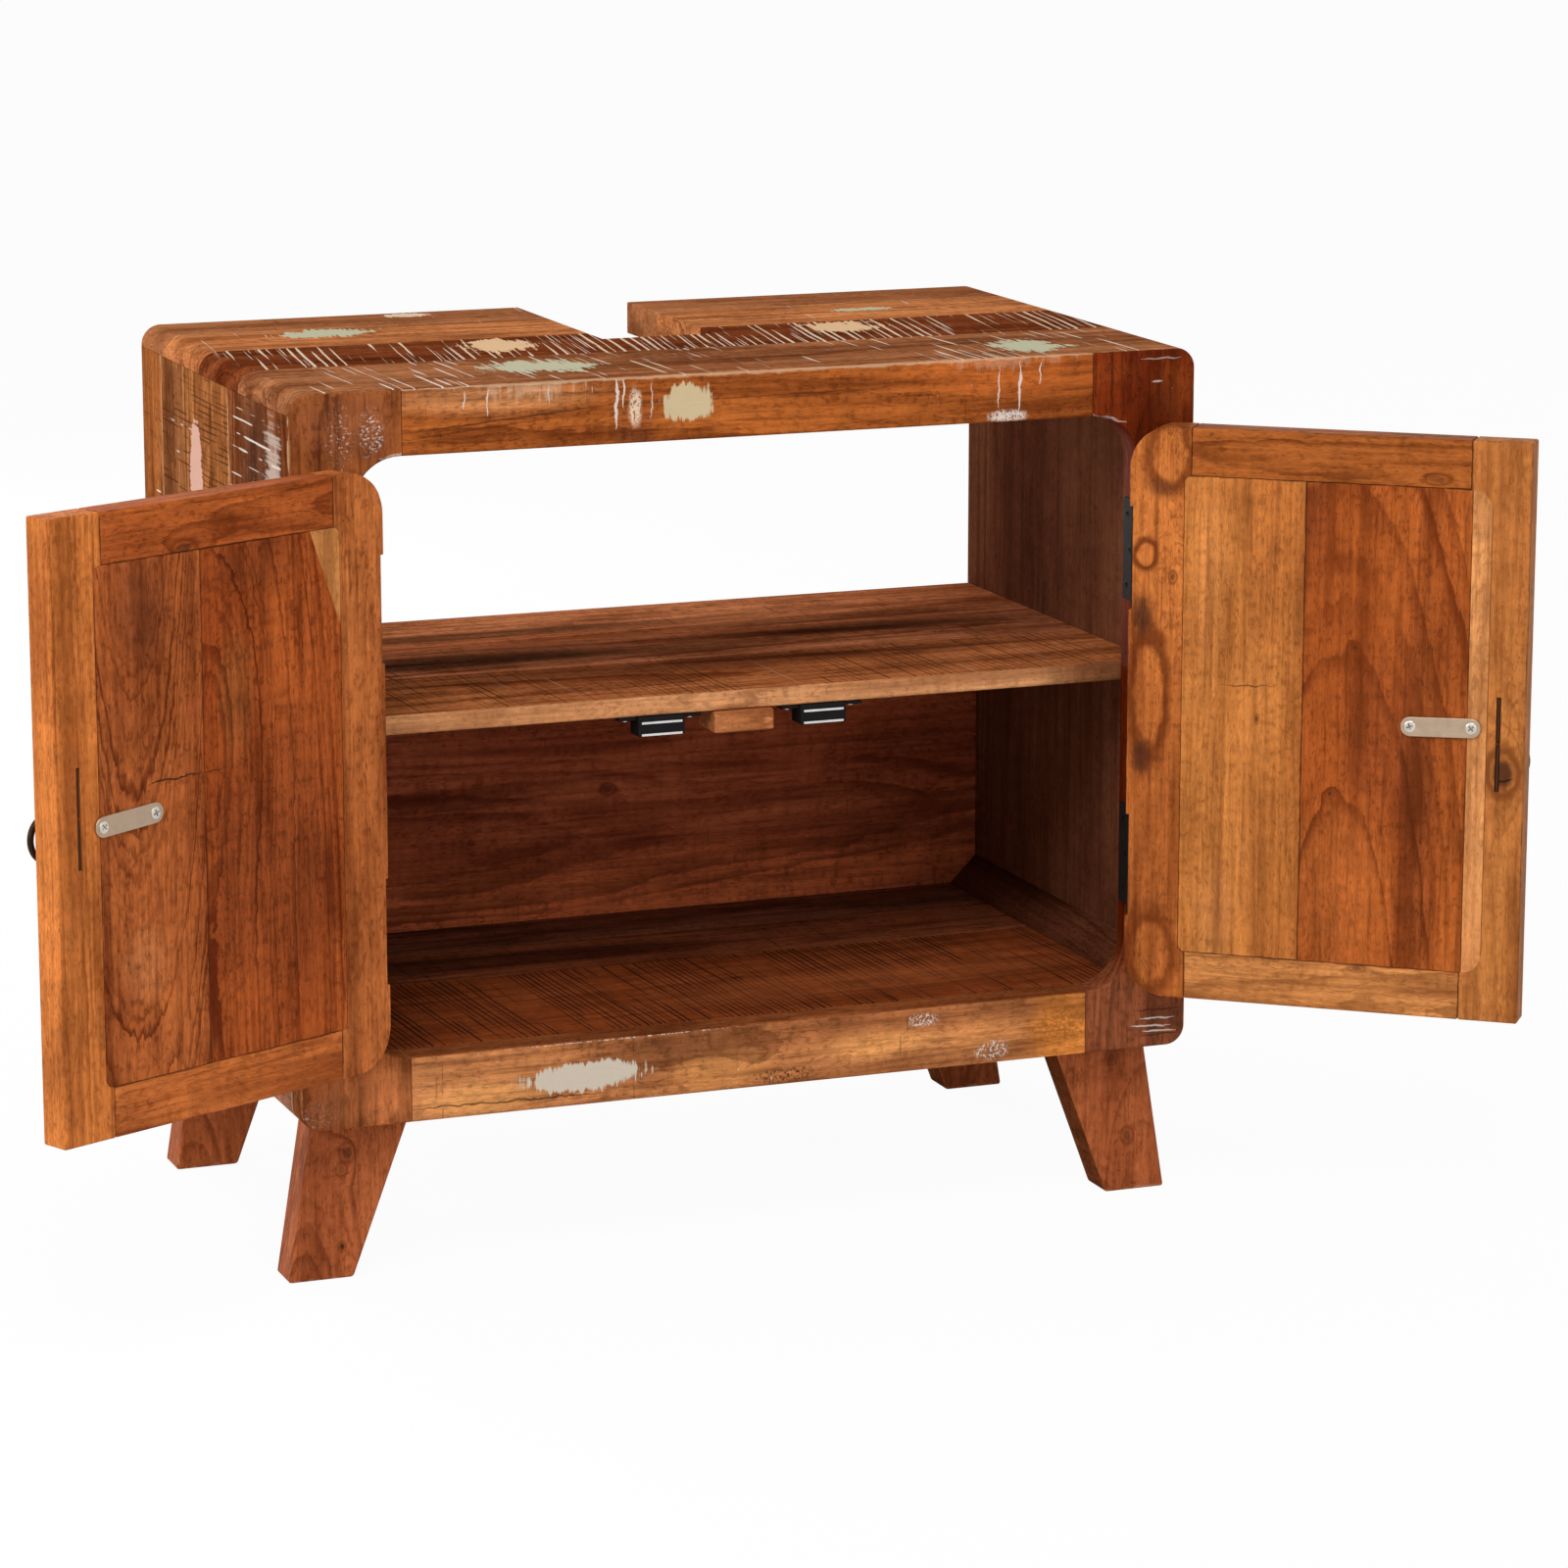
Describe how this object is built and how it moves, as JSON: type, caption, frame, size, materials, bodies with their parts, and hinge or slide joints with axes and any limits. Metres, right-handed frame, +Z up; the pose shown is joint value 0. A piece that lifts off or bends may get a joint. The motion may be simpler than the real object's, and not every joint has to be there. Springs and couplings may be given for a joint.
{
  "type": "bathroom cabinet",
  "caption": "Under-sink bathroom cabinet in reclaimed wood with a notched top for pipes, an inner shelf, splayed legs and hinged inset doors with ring pulls and magnetic catches.",
  "frame": {"origin": "on the floor under the middle of the box round the whole cabinet, its doors open as at rest", "axes": "+X to the viewer's right along the cabinet's width, +Y from the doors to the wall, +Z up"},
  "size_m": [0.9529, 0.5343, 0.565],
  "materials": {
    "sawn_top": "reclaimed planks with saw marks and old paint, thin satin varnish",
    "carcass_wood": "dark reclaimed boards, matt",
    "frame_wood": "orange-brown reclaimed wood, satin varnish",
    "door_wood": "warm figured hardwood, satin varnish",
    "leg_wood": "red-brown hardwood, satin varnish",
    "black_steel": "black oxide, semi-gloss",
    "nickel": "satin nickel plate",
    "zinc": "bright zinc plate",
    "black_plastic": "moulded, matt",
    "pole_steel": "bare cold-rolled steel"
  },
  "bodies": {
    "carcass": {"top_board": "sawn_top", "base_board": "carcass_wood", "floor_board": "carcass_wood", "left_side_board": "frame_wood", "right_side_board": "frame_wood", "shelf": "carcass_wood", "back_panel": "carcass_wood", "left_corner_strip": "carcass_wood", "right_corner_strip": "carcass_wood", "left_frame_stile": "frame_wood", "right_frame_stile": "frame_wood", "top_frame_rail": "frame_wood", "bottom_frame_rail": "frame_wood", "front_left_leg": "leg_wood", "front_right_leg": "leg_wood", "back_left_leg": "leg_wood", "back_right_leg": "leg_wood", "door_stop_block": "carcass_wood", "left_catch_body": "black_plastic", "left_catch_upper_pole": "pole_steel", "left_catch_lower_pole": "pole_steel", "right_catch_body": "black_plastic", "right_catch_upper_pole": "pole_steel", "right_catch_lower_pole": "pole_steel", "left_upper_hinge_frame_leaf": "black_steel", "left_upper_hinge_pin": "black_steel", "left_lower_hinge_frame_leaf": "black_steel", "left_lower_hinge_pin": "black_steel", "right_upper_hinge_frame_leaf": "black_steel", "right_upper_hinge_pin": "black_steel", "right_lower_hinge_frame_leaf": "black_steel", "right_lower_hinge_pin": "black_steel"},
    "left_door": {"left_door_hinge_stile": "door_wood", "left_door_free_stile": "door_wood", "left_door_top_rail": "door_wood", "left_door_bottom_rail": "door_wood", "left_door_hinge_side_board": "door_wood", "left_door_free_side_board": "door_wood", "left_upper_hinge_door_leaf": "black_steel", "left_lower_hinge_door_leaf": "black_steel", "left_strike_plate": "nickel", "left_strike_inner_screw": "zinc", "left_strike_outer_screw": "zinc", "left_ring_eye": "black_steel"},
    "right_door": {"right_door_hinge_stile": "door_wood", "right_door_free_stile": "door_wood", "right_door_top_rail": "door_wood", "right_door_bottom_rail": "door_wood", "right_door_hinge_side_board": "door_wood", "right_door_free_side_board": "door_wood", "right_upper_hinge_door_leaf": "black_steel", "right_lower_hinge_door_leaf": "black_steel", "right_strike_plate": "nickel", "right_strike_inner_screw": "zinc", "right_strike_outer_screw": "zinc", "right_ring_eye": "black_steel"},
    "left_ring_pull": {"left_ring": "black_steel"},
    "right_ring_pull": {"right_ring": "black_steel"}
  },
  "joints": [
    {"name": "left_door_hinge", "type": "hinge", "parent": "carcass", "child": "left_door", "pos_m": [-0.243, -0.08665, 0.336], "axis": [0, 0, 1], "range_deg": [-20.5, 154.5]},
    {"name": "right_door_hinge", "type": "hinge", "parent": "carcass", "child": "right_door", "pos_m": [0.2745, -0.08665, 0.336], "axis": [0, 0, 1], "range_deg": [-141, 34]},
    {"name": "left_ring_swing", "type": "hinge", "parent": "left_door", "child": "left_ring_pull", "pos_m": [-0.46158, -0.18703, 0.3442], "axis": [0.9026, 0.4305, 0], "range_deg": [-10, 190]},
    {"name": "right_ring_swing", "type": "hinge", "parent": "right_door", "child": "right_ring_pull", "pos_m": [0.46361, -0.23528, 0.3292], "axis": [0.7771, -0.6293, 0], "range_deg": [-10, 190]}
  ]
}
